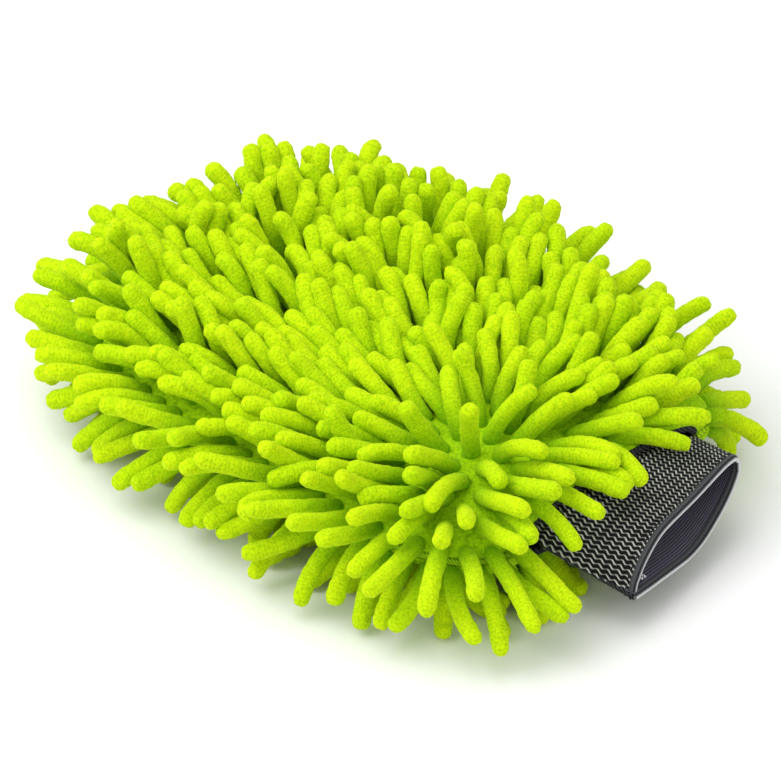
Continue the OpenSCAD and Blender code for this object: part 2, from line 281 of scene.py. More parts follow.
def rib_height(tree):
    """How high the braid stands at a point, 0 in the gap and 1 on the rib's crest; the cuff is painted
    black in the gap and pale on the crest, partly as a highlight.
    """
    where = add(tree, "UVMap", uv_map="cloth")
    part = add(tree, "SeparateXYZ", [(0, where.outputs["UV"])])
    step = add(tree, "Math", [(0, part.outputs["Y"])], operation="MULTIPLY")
    step.inputs[1].default_value = 2 * math.pi / RIB_STEP
    sway = add(tree, "Math", [(0, step.outputs[0])], operation="SINE")
    push = add(tree, "Math", [(0, sway.outputs[0])], operation="MULTIPLY")
    push.inputs[1].default_value = RIB_SWAY
    across = add(tree, "Math", [(0, part.outputs["X"]), (1, push.outputs[0])], operation="ADD")
    angle = add(tree, "Math", [(0, across.outputs[0])], operation="MULTIPLY")
    angle.inputs[1].default_value = 2 * math.pi / RIB_PITCH
    rib = add(tree, "Math", [(0, angle.outputs[0])], operation="SINE")
    lift = add(tree, "Math", [(0, step.outputs[0])], operation="COSINE")
    beads = add(tree, "Math", [(0, lift.outputs[0])], operation="MULTIPLY_ADD")
    beads.inputs[1].default_value = -0.32
    beads.inputs[2].default_value = 0.0
    total = add(tree, "Math", [(0, rib.outputs[0]), (1, beads.outputs[0])], operation="ADD")
    return add(tree, "MapRange", [("Value", total.outputs[0])],
               From_Min=-1.32, From_Max=1.32, To_Min=0.0, To_Max=1.0)


elastic, tree, shader = cloth_material("braided_elastic_charcoal", 0.7, 0.15, "c8c8c8")
height = rib_height(tree)
where = add(tree, "UVMap", uv_map="cloth")
wear = add(tree, "TexNoise", [("Vector", where.outputs["UV"])], Scale=180.0, Detail=4.0)
uneven = add(tree, "Math", [(0, wear.outputs["Fac"])], operation="MULTIPLY_ADD")
uneven.inputs[1].default_value = 0.3
uneven.inputs[2].default_value = -0.15
lit = add(tree, "Math", [(0, height.outputs["Result"]), (1, uneven.outputs[0])], operation="ADD")
# Black in the gaps and pale near the crests: partly the braid's pale yarn, partly a painted highlight
# on the crests and painted shade in the gaps.
colour = ramp(tree, lit.outputs[0],
              [(0.5, "050506"), (0.64, "2d2e2d"), (0.78, "82847e"), (0.96, "c2c4bc")])
tree.links.new(colour.outputs["Color"], shader.inputs["Base Color"])
bump = add(tree, "Bump", [("Height", height.outputs["Result"])], Strength=0.6, Distance=0.4 * MM)
tree.links.new(bump.outputs["Normal"], shader.inputs["Normal"])

# %% Facing and binding
ROW_PITCH = 0.95 * MM
facing_knit, tree, shader = cloth_material("facing_knit_black", 0.55, 0.35, "9a98ac")
where = add(tree, "UVMap", uv_map="cloth")
part = add(tree, "SeparateXYZ", [(0, where.outputs["UV"])])
rows = add(tree, "Math", [(0, part.outputs["Y"])], operation="MULTIPLY")
rows.inputs[1].default_value = 2 * math.pi / ROW_PITCH
row_wave = add(tree, "Math", [(0, rows.outputs[0])], operation="SINE")
loops = add(tree, "Math", [(0, part.outputs["X"])], operation="MULTIPLY")
loops.inputs[1].default_value = 2 * math.pi / (0.8 * ROW_PITCH)
loop_wave = add(tree, "Math", [(0, loops.outputs[0])], operation="SINE")
grid = add(tree, "Math", [(0, loop_wave.outputs[0]), (2, row_wave.outputs[0])],
           operation="MULTIPLY_ADD")
grid.inputs[1].default_value = 0.9
relief = add(tree, "MapRange", [("Value", grid.outputs[0])], From_Min=-1.9, From_Max=1.9)
# The dark stop is the black knit; the pale grey-violet stop on the rows' tops is a painted sheen.
colour = ramp(tree, relief.outputs["Result"], [(0.2, "121215"), (0.9, "6a6878")])
tree.links.new(colour.outputs["Color"], shader.inputs["Base Color"])
bump = add(tree, "Bump", [("Height", relief.outputs["Result"])], Strength=0.5, Distance=0.35 * MM)
tree.links.new(bump.outputs["Normal"], shader.inputs["Normal"])

binding_tape, tree, shader = cloth_material("satin_binding_grey", 0.5, 0.2, "d0d0d4")
crest = add(tree, "Attribute", attribute_name="crest")
where = add(tree, "TexCoord")
weave = add(tree, "TexNoise", [("Vector", where.outputs["Object"])], Scale=1 / (0.6 * MM), Detail=3.0)
uneven = add(tree, "Math", [(0, weave.outputs["Fac"])], operation="MULTIPLY_ADD")
uneven.inputs[1].default_value = 0.06
uneven.inputs[2].default_value = -0.03
lit = add(tree, "Math", [(0, crest.outputs["Fac"]), (1, uneven.outputs[0])], operation="ADD")
# Dark tape, with a pale painted highlight near the crest of its rolled edge.
colour = ramp(tree, lit.outputs[0],
              [(0.0, "26272a"), (0.55, "4a4b4d"), (0.7, "0e0e10"), (0.8, "1b1c1e"),
               (0.9, "8d8e90"), (0.97, "cdcecf")])
tree.links.new(colour.outputs["Color"], shader.inputs["Base Color"])
bump = add(tree, "Bump", [("Height", weave.outputs["Fac"])], Strength=0.25, Distance=0.2 * MM)
tree.links.new(bump.outputs["Normal"], shader.inputs["Normal"])
print("materials", len(bpy.data.materials))

# %% [markdown]
# ## Where each noodle grows
# A CAD noodle band is one mesh that holds two dozen straight noodles. Points that share a
# triangle belong to one noodle, and a noodle's long axis is the main direction of its
# points. The end that touches the backing cloth is its root.

# %% Read roots and headings
def surface_of(node):
    """A CAD node's points and triangles, with doubled points merged."""
    work = bmesh.new()
    work.from_mesh(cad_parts[node].data)
    bmesh.ops.remove_doubles(work, verts=work.verts[:], dist=0.002 * MM)
    bmesh.ops.triangulate(work, faces=work.faces[:])
    work.verts.index_update()
    points = np.array([v.co for v in work.verts])
    triangles = np.array([[v.index for v in f.verts] for f in work.faces])
    work.free()
    return points, triangles


def separate(points, triangles):
    """The points of each loose part."""
    label = np.arange(len(points))
    while True:
        least = label[triangles].min(1)
        new = label.copy()
        for corner in range(3):
            np.minimum.at(new, triangles[:, corner], least)
        if (new == label).all():
            return [points[label == k] for k in np.unique(label)]
        label = new


CLOTH_NODES = ["backing_top", "backing_bottom"]
cloth_points = []
cloth_faces = []
for node in CLOTH_NODES:
    points, triangles = surface_of(node)
    cloth_faces += (triangles + sum(len(p) for p in cloth_points)).tolist()
    cloth_points.append(points)
cloth_tree = BVHTree.FromPolygons([Vector(p) for p in np.concatenate(cloth_points)], cloth_faces)

bands = sorted(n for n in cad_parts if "noodles" in n)
roots, headings, band_of = [], [], []
for band_number, node in enumerate(bands):
    for part in separate(*surface_of(node)):
        middle = part.mean(0)
        axis = np.linalg.svd(part - middle, full_matrices=False)[2][0]
        reach = (part - middle) @ axis
        ends = [middle + reach.min() * axis, middle + reach.max() * axis]
        gaps = [cloth_tree.find_nearest(Vector(e))[3] for e in ends]
        root, tip = ends if gaps[0] < gaps[1] else ends[::-1]
        way = (tip - root) / np.linalg.norm(tip - root)
        roots.append(root)
        headings.append(way)
        band_of.append(band_number)
roots, headings, band_of = np.array(roots), np.array(headings), np.array(band_of)
on_top = np.array(["top" in bands[b] for b in band_of])
print("noodles", len(roots), "on top", int(on_top.sum()))

# %% [markdown]
# ## How far a point is from the cloth
# Noodles lie on the pouch and on the cuff, so the motion needs to know how far any point is
# from them. Asking the mesh each time is slow. Instead the distance is measured once on a
# 3 mm grid, with a minus sign inside, and read from the grid afterwards.

# %% Measure the distance grid
GRID_STEP = 3.0 * MM
GRID_LOW = np.array([-0.118, -0.088, -0.003])
GRID_HIGH = np.array([0.142, 0.090, 0.060])
# Each skin triangle gets a spot inside the pouch or the cuff, in metres. Only triangles that
# face away from their spot are on the outside, and only those are kept.
SPINE_FROM, SPINE_TO = -0.08, 0.2
SPINE_HALF_WIDTH = 0.055
SPINE_HEIGHT = 0.028
LONG_SHARE, WIDE_SHARE = 0.98, 0.8
WRIST_LINE = 0.098
CUFF_DROP = 0.28
CUFF_MIDDLE_Y = 0.013
CUFF_TILT = 0.2
TILT_REACH = 0.03
skin_points, skin_faces = [], []
for node in ["backing_top", "backing_bottom", "cuff_knit_upper", "cuff_knit_lower"]:
    points, triangles = surface_of(node)
    a, b, c = (points[triangles[:, k]] for k in range(3))
    normal = np.cross(b - a, c - a)
    middle = (a + b + c) / 3
    spine = middle.copy()
    beyond_wrist = middle[:, 0] - WRIST_LINE
    spine[:, 0] = np.clip(middle[:, 0], SPINE_FROM, SPINE_TO) * LONG_SHARE
    spine[:, 1] = np.clip(middle[:, 1] * WIDE_SHARE, -SPINE_HALF_WIDTH, SPINE_HALF_WIDTH)
    spine[:, 2] = SPINE_HEIGHT - np.clip(beyond_wrist, 0, 1) * CUFF_DROP
    if "cuff" in node:
        lean = (middle[:, 1] - CUFF_MIDDLE_Y) * CUFF_TILT
        spine[:, 1] = CUFF_MIDDLE_Y
        spine[:, 2] += lean * np.clip(beyond_wrist / TILT_REACH, 0, 1)
    facing = (normal * (middle - spine)).sum(1) > 0
    skin_faces += (triangles[facing] + sum(len(p) for p in skin_points)).tolist()
    skin_points.append(points)
skin = BVHTree.FromPolygons([Vector(p) for p in np.concatenate(skin_points)], skin_faces)
axes = [np.arange(GRID_LOW[k], GRID_HIGH[k] + GRID_STEP, GRID_STEP) for k in range(3)]
distance = np.zeros([len(a) for a in axes])
for i, j, k in itertools.product(*(range(len(a)) for a in axes)):
    spot = Vector((axes[0][i], axes[1][j], axes[2][k]))
    near, normal, _, gap = skin.find_nearest(spot)
    distance[i, j, k] = gap if (spot - near).dot(normal) >= 0 else -gap
slope = np.stack(np.gradient(distance, GRID_STEP), axis=-1)
print("distance grid", distance.shape)


def read_grid(values, points):
    """Values at points, mixed from the eight grid corners round each."""
    at = np.clip((points - GRID_LOW) / GRID_STEP, 0, np.array(distance.shape) - 1.001)
    low = at.astype(int)
    part = at - low
    total = 0
    for corner in itertools.product((0, 1), repeat=3):
        share = np.prod(np.where(np.array(corner) == 1, part, 1 - part), axis=1)
        here = values[low[:, 0] + corner[0], low[:, 1] + corner[1], low[:, 2] + corner[2]]
        total = total + (share[:, None] * here if values.ndim == 4 else share * here)
    return total


# %% [markdown]
# ## Let the noodles flop
# A noodle is limp but springy: its root is held by the knit, its own stiffness keeps it
# nearly straight, its weight pulls the free end down, and its neighbours keep it from
# lying where it would like to. Each noodle becomes a chain of eight points. Every round
# pulls the points down a little, bends them back towards straight, pushes apart those that
# touch, lifts them off the cloth and the ground, and puts the links back to their length.

# %% Say where on the pouch a noodle stands
def rise(value, start, width):
    """0 before start, 1 once the value is a width past it."""
    return np.clip((value - start) / width, 0, 1)


crosswise = roots[:, 1] / MM
lengthwise = roots[:, 0] / MM
on_edge = np.array(["edge" in bands[b] for b in band_of])
near_side = rise(-roots[:, 1], 35 * MM, 25 * MM)
wrist_end = rise(lengthwise, 62, 20)
far_flank = rise(crosswise, 26, 14)
near_wrist = rise(lengthwise, 60, 20) * rise(-crosswise, 5, 15)
outer = rise((lengthwise / 105) ** 2 + (crosswise / 75) ** 2, 0.55, 0.2)
far_left = rise(-lengthwise, 35, 20) * rise(crosswise, -25, 25) * outer
far_corner = wrist_end * far_flank
print("noodles round the edge", int(on_edge.sum()))

# %% [markdown]
# Every noodle starts from one length for its face. Region by region that length is then
# changed, which gives the mitt its outline. The near side, the near corner of the wrist, the
# fingertips, the far top and the root of the cuff get longer noodles. The far left and the far
# corner of the wrist get shorter ones.

# %% Cut the noodles to length
JOINTS = 8
NOODLE_RADIUS = 3.2 * MM
TOP_LENGTH = 29.0 * MM
BOTTOM_LENGTH = 25.5 * MM
rng = np.random.default_rng(7)
count = len(roots)
lengths = np.where(on_top, TOP_LENGTH, BOTTOM_LENGTH) + on_edge * 3 * MM
lengths += near_side * (0.5 + 4 * np.exp(-((lengthwise - 30) / 20) ** 2)) * MM
lengths += 6 * MM * near_wrist
lengths -= 3 * MM * far_left
lengths += 4 * MM * outer * (lengthwise < -70) * (np.abs(crosswise + 15) < 20)
lengths += 2.5 * MM * on_top * rise(crosswise, 20, 20) * (lengthwise < 15)
lengths += 4 * MM * on_top * rise(lengthwise, 68, 14) * (np.abs(crosswise) < 32)
lengths -= 4.5 * MM * wrist_end * far_flank
lengths *= rng.uniform(0.9, 1.08, count)
links = lengths / (JOINTS - 1)
radii = NOODLE_RADIUS * rng.uniform(0.95, 1.07, count)
print("noodle lengths in mm", round(lengths.min() / MM, 1), "to", round(lengths.max() / MM, 1))

# %% [markdown]
# A pile has a lie, as hair does. Here it parts at a crown near the wrist, stands up on the far
# half, and falls over the root of the cuff. Each rule below turns the headings of one region.

# %% Comb the headings
CROWN = np.array([60.0, -21.6]) * MM
away = roots[:, :2] - CROWN
spread = np.linalg.norm(away, axis=1)
away /= spread[:, None]
near_crown = np.exp(-(spread / (62 * MM)) ** 2) * np.clip(spread / (16 * MM), 0.2, 1)
comb = np.where(on_top, 0.80 * near_crown, 0.25)
headings[:, :2] += away * comb[:, None]
far_side = rise(roots[:, 1], -15 * MM, 45 * MM) * (1 - near_crown)
headings[:, 2] += np.where(on_top & ~on_edge, 0.8 * far_side, 0)
over_cuff = np.clip(1.75 - np.abs(roots[:, 1] + 8 * MM) / (32 * MM), 0, 1)
headings[:, 2] -= 0.55 * far_corner
headings[:, 0] -= 0.3 * far_corner
headings[:, 2] -= 0.25 * far_left
headings[:, 1] -= 0.3 * far_left
at_wrist = rise(roots[:, 0], 68 * MM, 18 * MM) * over_cuff
headings[:, 1] *= 1 - 0.85 * at_wrist * (crosswise < 5)
headings[:, 0] += at_wrist * np.where(on_top, 1.1, 0.5)
headings[:, 2] -= at_wrist * np.where(on_top, 0.45, -0.1)
headings = headings + rng.normal(0, 0.10, headings.shape)
headings /= np.linalg.norm(headings, axis=1)[:, None]
curl = rng.normal(0, 0.06, headings.shape)
curl -= (curl * headings).sum(1)[:, None] * headings
print("noodles combed over the cuff", int((at_wrist > 0.5).sum()))

# %% Lay each noodle out as a chain
chain = roots[:, None, :] + headings[:, None, :] * (links[:, None] * np.arange(JOINTS))[..., None]
owner = np.repeat(np.arange(count), JOINTS)
order = np.tile(np.arange(JOINTS), count)
girth = np.repeat(radii, JOINTS)
print("chains", count, "with", JOINTS, "points each")

# %% Find and part the noodles that touch
CONTACT_SHARE = 0.94
CONTACT_FIRMNESS = 0.55
CLOTH_SHARE = 0.92
MOST_LIFT = 1.5 * MM
PAIR_REACH = 9.5 * MM
PAIR_REFRESH = 6


def close_pairs(points, reach):
    """Pairs of points of different noodles that are nearer than reach."""
    cell = np.floor(points / reach).astype(np.int64)
    cell -= cell.min(0) - 1
    size = cell.max(0) + 2
    key = (cell[:, 0] * size[1] + cell[:, 1]) * size[2] + cell[:, 2]
    ranked = np.argsort(key, kind="stable")
    sorted_key = key[ranked]
    found = []
    for step in itertools.product((-1, 0, 1), repeat=3):
        other = key + (step[0] * size[1] + step[1]) * size[2] + step[2]
        first = np.searchsorted(sorted_key, other, "left")
        many = np.searchsorted(sorted_key, other, "right") - first
        a = np.repeat(np.arange(len(points)), many)
        b = ranked[np.repeat(first - np.cumsum(many) + many, many) + np.arange(many.sum())]
        keep = (a < b) & (owner[a] != owner[b])
        found.append(np.stack([a[keep], b[keep]], axis=1))
    pairs = np.concatenate(found)
    gap = np.linalg.norm(points[pairs[:, 0]] - points[pairs[:, 1]], axis=1)
    return pairs[gap < reach]


def push_apart(flat, pairs, firm):
    """Moves touching points apart, each by half of what they overlap."""
    a, b = pairs[:, 0], pairs[:, 1]
    apart = flat[a] - flat[b]
    gap = np.linalg.norm(apart, axis=1) + 1e-9
    overlap = (girth[a] + girth[b]) * CONTACT_SHARE - gap
    hit = overlap > 0
    a, b = a[hit], b[hit]
    move = apart[hit] / gap[hit][:, None] * (overlap[hit] * 0.5 * firm)[:, None]
    total = np.zeros_like(flat)
    for k in range(3):
        total[:, k] += np.bincount(a, move[:, k], len(flat))
        total[:, k] -= np.bincount(b, move[:, k], len(flat))
    total[order < 2] = 0
    return flat + total


# %% Run the chains
ROUNDS = 260
WEIGHT = 0.25 * MM
SPRING = 0.24
for turn in range(ROUNDS):
    settle = 1.0 if turn < 0.8 * ROUNDS else 0.4
    chain[:, 2:, 2] -= WEIGHT * settle
    for k in range(2, JOINTS):
        before = chain[:, k - 1] - chain[:, k - 2]
        before = before / np.linalg.norm(before, axis=1)[:, None] + curl
        straight = chain[:, k - 1] + before * links[:, None]
        chain[:, k] += SPRING * (straight - chain[:, k])
    flat = chain.reshape(-1, 3)
    if turn % PAIR_REFRESH == 0:
        pairs = close_pairs(flat, PAIR_REACH)
    flat = push_apart(flat, pairs, CONTACT_FIRMNESS)
    gap = read_grid(distance, flat)
    away = read_grid(slope, flat)
    away /= np.linalg.norm(away, axis=1)[:, None] + 1e-9
    lift = np.clip(girth * CLOTH_SHARE - gap, 0, MOST_LIFT)
    lift[order < 2] = 0
    flat = flat + away * lift[:, None]
    low = (flat[:, 2] < girth) & (order > 0)
    flat[low, 2] = girth[low]
    chain = flat.reshape(count, JOINTS, 3)
    for k in range(1, JOINTS):
        step = chain[:, k] - chain[:, k - 1]
        step /= np.linalg.norm(step, axis=1)[:, None]
        if k == 1:
            step = step * 0.5 + headings * 0.5
            step /= np.linalg.norm(step, axis=1)[:, None]
        chain[:, k] = chain[:, k - 1] + step * links[:, None]
print("chains settled after", ROUNDS, "rounds")

# %% [markdown]
# ## One noodle, then all of them
# All noodles have the same cage: a six-sided tube with a rounded tip, extruded ring by ring
# from a circle. Copies of it are carried onto the settled chains, and a Subdivision Surface
# modifier rounds them. The cage is a little wider than the noodle, because subdivision
# pulls it in. Every point keeps its place on the straight noodle as an attribute.

# %% Extrude the cage
CAGE_SIDES = 6
SHRINK = 0.832
# Height along the noodle and width of each ring, as shares of its length and radius.
RINGS = [(0.0, 0.75), (0.06, 1.0), (0.21, 1.0), (0.37, 1.0), (0.53, 1.0), (0.69, 1.01),
         (0.82, 1.04), (0.895, 1.02), (0.95, 0.84), (0.985, 0.5), (1.0, 0.2)]
cage = bmesh.new()
bmesh.ops.create_circle(cage, segments=CAGE_SIDES, radius=RINGS[0][1])
rim = cage.edges[:]
bmesh.ops.contextual_create(cage, geom=rim)
for (low, wide), (high, wider) in zip(RINGS, RINGS[1:]):
    grown = bmesh.ops.extrude_edge_only(cage, edges=rim)["geom"]
    ring = [g for g in grown if isinstance(g, bmesh.types.BMVert)]
    rim = [g for g in grown if isinstance(g, bmesh.types.BMEdge)]
    bmesh.ops.scale(cage, verts=ring, vec=(wider / wide, wider / wide, 1))
    bmesh.ops.translate(cage, verts=ring, vec=(0, 0, high - low))
bmesh.ops.contextual_create(cage, geom=rim)
bmesh.ops.recalc_face_normals(cage, faces=cage.faces[:])
cage_mesh = bpy.data.meshes.new("noodle_cage")
cage.to_mesh(cage_mesh)
cage.free()
cage_points = np.array([v.co for v in cage_mesh.vertices])
print("cage faces", len(cage_mesh.polygons))


# %% Carry the cage onto the chains
def bent_lines(chosen, heights):
    """Centre and two side directions of each chosen noodle at each height."""
    lines = chain[chosen]
    at = np.clip(np.asarray(heights) * (JOINTS - 1), 0, JOINTS - 1 - 1e-6)
    low = at.astype(int)
    t = (at - low)[None, :, None]
    p0 = lines[:, np.maximum(low - 1, 0)]
    p1 = lines[:, low]
    p2 = lines[:, low + 1]
    p3 = lines[:, np.minimum(low + 2, JOINTS - 1)]
    centre = 0.5 * (2 * p1 + (p2 - p0) * t + (2 * p0 - 5 * p1 + 4 * p2 - p3) * t ** 2
                    + (3 * p1 - p0 - 3 * p2 + p3) * t ** 3)
    ahead = np.gradient(centre, axis=1)
    ahead /= np.linalg.norm(ahead, axis=2)[..., None]
    side = np.zeros_like(ahead)
    seed = np.cross(ahead[:, 0], [0.3, 0.2, 1.0])
    for k in range(len(heights)):
        seed = seed - (seed * ahead[:, k]).sum(1)[:, None] * ahead[:, k]
        seed = seed / np.linalg.norm(seed, axis=1)[:, None]
        side[:, k] = seed
    return centre, side, np.cross(ahead, side)


def store(mesh, name, kind, values):
    """Writes values to a point attribute of a mesh."""
    made = mesh.attributes.new(name, kind, "POINT")
    field = "vector" if kind == "FLOAT_VECTOR" else "value"
    made.data.foreach_set(field, np.asarray(values, np.float32).ravel())


def show(name, mesh, material):
    """A finished piece at the origin, smooth, with its material."""
    mesh.materials.append(material)
    mesh.polygons.foreach_set("use_smooth", [True] * len(mesh.polygons))
    made = bpy.data.objects.new(name, mesh)
    bpy.context.scene.collection.objects.link(made)
    return made


def subdivide(piece, levels):
    """A Subdivision Surface modifier with the same levels everywhere."""
    smooth = piece.modifiers.new("smooth", "SUBSURF")
    smooth.levels = smooth.render_levels = levels


ring_heights = [r[0] for r in RINGS]
ring_of = np.abs(cage_points[:, 2][:, None] - np.array(ring_heights)[None]).argmin(1)
shades = rng.uniform(0, 1, count)
swells = rng.normal(0, 0.035, (count, len(cage_points)))
drift = rng.uniform(-1, 1, (count, 3))
fluff = bpy.data.textures.new("fluff", "CLOUDS")
fluff.noise_scale = 2.0 * MM
fluff.noise_depth = 1
WRIST_X = 0.0945
for band_number, node in enumerate(bands):
    chosen = np.flatnonzero(band_of == band_number)
    centre, side, up = bent_lines(chosen, ring_heights)
    wide = (radii[chosen, None] / SHRINK * (1 + swells[chosen]))[..., None]
    x, y = cage_points[:, 0][None, :, None], cage_points[:, 1][None, :, None]
    points = centre[:, ring_of] + wide * (side[:, ring_of] * x + up[:, ring_of] * y)
    work = bmesh.new()
    for _ in chosen:
        work.from_mesh(cage_mesh)
    mesh = bpy.data.meshes.new("noodle_pile_" + node)
    work.to_mesh(mesh)
    work.free()
    mesh.vertices.foreach_set("co", points.astype(np.float32).ravel())
    straight = np.stack([
        cage_points[None, :, 0] * radii[chosen, None],
        cage_points[None, :, 1] * radii[chosen, None],
        cage_points[None, :, 2] * lengths[chosen, None],
    ], axis=-1) + drift[chosen, None, :]
    store(mesh, "strand", "FLOAT_VECTOR", straight)
    store(mesh, "shade", "FLOAT", np.repeat(shades[chosen], len(cage_points)))
    # reach runs from 0 at the root to 1 at the tip; the chenille material paints shade towards the root
    # from it.
    store(mesh, "reach", "FLOAT", np.tile(cage_points[:, 2], len(chosen)))
    piece = show("noodle_pile_" + node, mesh, chenille)
    subdivide(piece, 2)
    fuzz = piece.modifiers.new("fuzz", "DISPLACE")
    fuzz.texture = fluff
    fuzz.strength = 0.7 * MM
    fuzz.mid_level = 0.5
    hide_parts(node)
    if points[..., 0].max() > WRIST_X + 2 * MM:
        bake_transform(piece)
    else:
        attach(piece, "pouch")
print("noodle faces before smoothing", len(cage_mesh.polygons) * count)

# %% [markdown]
# ## Backing and lining
# The noodles are knitted into a backing cloth, one panel for each face, sewn together round
# the edge. Cloth between stuffed rows isn't smooth: every root pulls up a small cone, so the
# panel's own surface is copied from its CAD solid, refined, and raised round each root.

# %% Cloth panels
def cloth_copy(node):
    """A merged copy of a CAD cloth solid as a bmesh."""
    work = bmesh.new()
    work.from_mesh(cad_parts[node].data)
    bmesh.ops.remove_doubles(work, verts=work.verts[:], dist=0.002 * MM)
    bmesh.ops.join_triangles(work, faces=work.faces[:], angle_face_threshold=0.7,
                             angle_shape_threshold=0.7)
    return work


PANEL_SIZES = {"backing_top": (0.224, 0.158), "backing_bottom": (0.222, 0.156),
               "lining_top": (0.205, 0.140), "lining_bottom": (0.203, 0.138)}
for node, flat_size in PANEL_SIZES.items():
    backing = node.startswith("backing")
    work = cloth_copy(node)
    if backing:
        bmesh.ops.subdivide_edges(work, edges=work.edges[:], cuts=1, use_grid_fill=True)
    work.normal_update()
    points = np.array([v.co for v in work.verts])
    normals = np.array([v.normal for v in work.verts])
    if backing:
        mine = roots[[bands[b].startswith(node.split("_")[1]) for b in band_of]]
        raised = np.zeros(len(points))
        for root in mine:
            gap = np.linalg.norm(points - root, axis=1)
            raised = np.maximum(raised, np.exp(-(gap / (3.4 * MM)) ** 2))
        outer = (normals * np.array([0, 0, 1 if "top" in node else -1])).sum(1) > -0.1
        points = points + normals * (raised * outer * 1.1 * MM)[:, None]
    mesh = bpy.data.meshes.new(node + "_cloth")
    work.to_mesh(mesh)
    work.free()
    mesh.vertices.foreach_set("co", points.astype(np.float32).ravel())
    piece = show(node + "_cloth", mesh, backing_knit if backing else lining_knit)
    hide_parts(node)
    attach(piece, "pouch")

# %% [markdown]
# ## The seams
# The overlocked seams are round ropes of thread. Their CAD beads already have that shape,
# so they stay and take the thread's finish.

# %% Dress the seams
for node, finish in [("edge_seam", lime_thread), ("wrist_seam_upper", grey_thread),
                     ("wrist_seam_lower", grey_thread)]:
    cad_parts[node].data.materials.clear()
    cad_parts[node].data.materials.append(finish)

# %% [markdown]
# ## The cuff
# The cuff is one tube of braided elastic. It leaves the wrist as a wide flat oval and slides
# to a mouth that is skewed and tilted, with lips that bow unevenly, as cloth does round an
# opening. A flat grid is rolled round these sections, which gives it an exact UV map in
# metres, and the ribs are raised in the mesh. The facing is the same tube further in.

# %% Roll a tube of cloth
pouch_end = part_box("backing_top")[1].x
root_middle = np.array([pouch_end + 3.1 * MM, 8 * MM, 28 * MM])
mouth_middle = np.array([pouch_end + 29 * MM, 16 * MM, 20 * MM])
root_half_w, root_half_h = np.array([0, 41, 0]) * MM, np.array([0, 0, 9]) * MM
skew, tilt = math.radians(12.5), math.radians(12)
mouth_half_w = 37 * MM * np.array([-math.sin(skew), math.cos(skew) * math.cos(tilt), math.sin(tilt)])
mouth_up = np.array([-0.2, -0.1, 1.0])
mouth_up /= np.linalg.norm(mouth_up)
# How far in mm each lip stands from the line between the mouth's corners, at shares of the
# way from the near corner to the far one.
UPPER_AT = [0, 0.05, 0.14, 0.30, 0.38, 0.63, 0.86, 0.92, 0.96, 0.985, 1]
UPPER_LIP = [0, 4.6, 8.2, 10.9, 10.2, 7.2, 5.6, 5.0, 4.2, 2.9, 0]
LOWER_AT = [0, 0.1, 0.28, 0.46, 0.60, 0.79, 0.90, 0.95, 0.98, 1]
LOWER_LIP = [0, 2.6, 6.6, 10.6, 11.2, 9.0, 6.6, 4.9, 3.2, 0]
fine_share = np.linspace(0, 1, 201)
SOFT_WINDOW = np.hanning(51)[1:-1]
SOFT_WINDOW_SUM = 25
SOFT_MARGIN = 24
CORNER_SHARE = 0.14


def softened(places, heights):
    """A lip's height in metres at every share of the mouth's width.

    The table's bends are smoothed, and close to the mouth's corners its own line is kept."""
    line = np.interp(fine_share, places, heights)
    padded = np.pad(line, SOFT_MARGIN, mode="edge")
    soft = np.convolve(padded, SOFT_WINDOW, "valid") / SOFT_WINDOW_SUM
    inner = np.clip(np.minimum(fine_share, 1 - fine_share) / CORNER_SHARE, 0, 1)
    return (line * (1 - inner) + soft * inner) * MM


upper_lip = softened(UPPER_AT, UPPER_LIP)
lower_lip = softened(LOWER_AT, LOWER_LIP)


def cuff_at(k, turn):
    """A point of the cuff's outside, k from wrist to mouth, turn round from the far side."""
    c, s = np.cos(turn), np.sin(turn)
    cos = np.sign(c) * np.abs(c) ** 0.85
    sin = np.sign(s) * np.abs(s) ** 0.85
    k = np.asarray(k)[..., None]
    share = (1 + cos) / 2
    lip = np.where(sin >= 0, np.interp(share, fine_share, upper_lip),
                   -np.interp(share, fine_share, lower_lip))
    return (root_middle * (1 - k) + mouth_middle * k
            + (root_half_w * (1 - k) + mouth_half_w * k) * cos[..., None]
            + root_half_h * (1 - k) * sin[..., None]
            + mouth_up * k * lip[..., None])


def cuff_inside(k, turn, depth):
    """The cuff's point moved inwards by depth."""
    step = 0.01
    k = np.asarray(k, float)
    around = cuff_at(k, turn + step) - cuff_at(k, turn - step)
    out = cuff_at(k + step, turn) - cuff_at(k - step, turn)
    normal = np.cross(around, out)
    normal /= np.linalg.norm(normal, axis=-1)[..., None]
    return cuff_at(k, turn) - normal * np.asarray(depth)[..., None]


def even_turns(columns):
    """Angles that cut the mouth's outline into equal lengths."""
    fine = np.linspace(0, 2 * math.pi, 2001)
    line = cuff_at(np.full(len(fine), 0.8), fine)
    gone = np.concatenate([[0], np.cumsum(np.linalg.norm(np.diff(line, axis=0), axis=1))])
    return np.interp(np.linspace(0, gone[-1], columns + 1), gone, fine), gone[-1]


WALL = 0.8 * MM
FACING_DEPTH = 1.9 * MM
HEM_DEPTH = 1.7 * MM
BRAID_DEPTH = 0.42 * MM
BRAID_SWING = 0.4
BEAD_SHARE = 0.3


